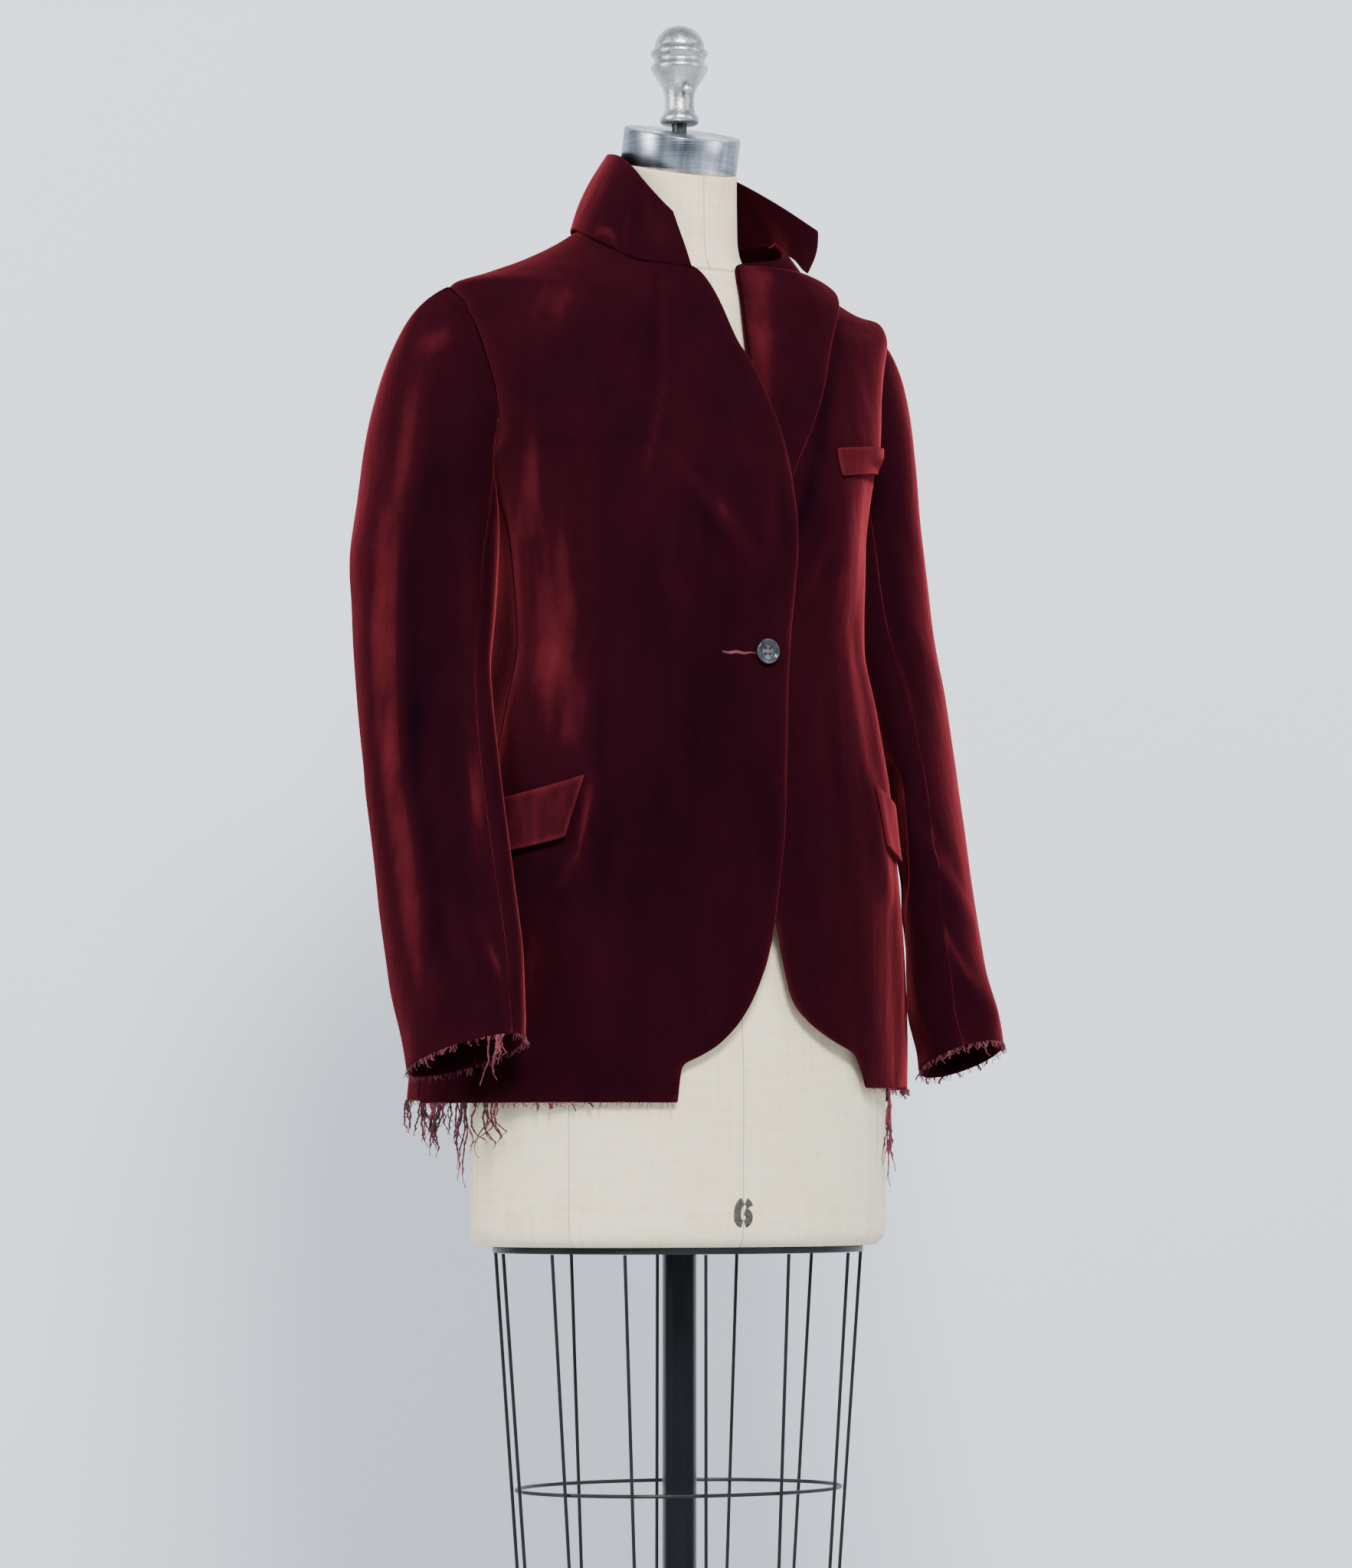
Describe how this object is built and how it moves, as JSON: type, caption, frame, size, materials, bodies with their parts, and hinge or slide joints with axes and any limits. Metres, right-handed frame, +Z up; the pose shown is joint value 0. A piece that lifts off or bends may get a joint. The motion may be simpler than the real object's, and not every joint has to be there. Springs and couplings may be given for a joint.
{
  "type": "hacking jacket on a dress form",
  "caption": "Velvet hacking jacket with popped collar and rounded cutaway, worn by a limbless dress form on a pole stand with a wire skirt cage.",
  "frame": {"origin": "centre of the base's underside, on the pole's axis", "axes": "+Z up along the pole; the form faces -Y; the wearer's right is -X"},
  "size_m": [0.5104, 0.42, 1.707],
  "materials": {
    "velvet": "burgundy cotton velvet with a deep nap and a red sheen at grazing angles",
    "frayed_thread": "loose burgundy threads at raw edges",
    "linen": "cream linen stretched over padding",
    "brushed_cap": "aluminium brushed round the rim",
    "cast_finial": "cast finial in silver paint",
    "black_enamel": "gloss black enamel",
    "horn": "polished dark horn-like buttons"
  },
  "bodies": {
    "root": {"front_right": "velvet", "front_left": "velvet", "back_left": "velvet", "back_right": "velvet", "lapel_left": "velvet", "lapel_turned_right": "velvet", "collar": "velvet", "sleeve_upper_left": "velvet", "sleeve_under_left": "velvet", "sleeve_upper_right": "velvet", "sleeve_under_right": "velvet", "flap_right": "velvet", "flap_left": "velvet", "breast_welt": "velvet", "fringe_front_right": "frayed_thread", "fringe_front_left": "frayed_thread", "fringe_back_left": "frayed_thread", "fringe_back_right": "frayed_thread", "fringe_cuff_left": "frayed_thread", "fringe_cuff_right": "frayed_thread", "form_torso": "linen", "form_neck": "linen", "neck_cap": "brushed_cap", "finial": "cast_finial", "finial_screw": "cast_finial", "finial_rod": "black_enamel", "form_plate": "black_enamel", "pole": "black_enamel", "pole_socket": "black_enamel", "base": "black_enamel", "cage_ring_middle": "black_enamel", "cage_ring_bottom": "black_enamel", "cage_wire_01": "black_enamel", "cage_wire_02": "black_enamel", "cage_wire_03": "black_enamel", "cage_wire_04": "black_enamel", "cage_wire_05": "black_enamel", "cage_wire_06": "black_enamel", "cage_wire_07": "black_enamel", "cage_wire_08": "black_enamel", "cage_wire_09": "black_enamel", "cage_wire_10": "black_enamel", "cage_wire_11": "black_enamel", "cage_wire_12": "black_enamel", "button_front": "horn", "button_cuff_left": "horn", "button_cuff_right": "horn"}
  },
  "joints": []
}
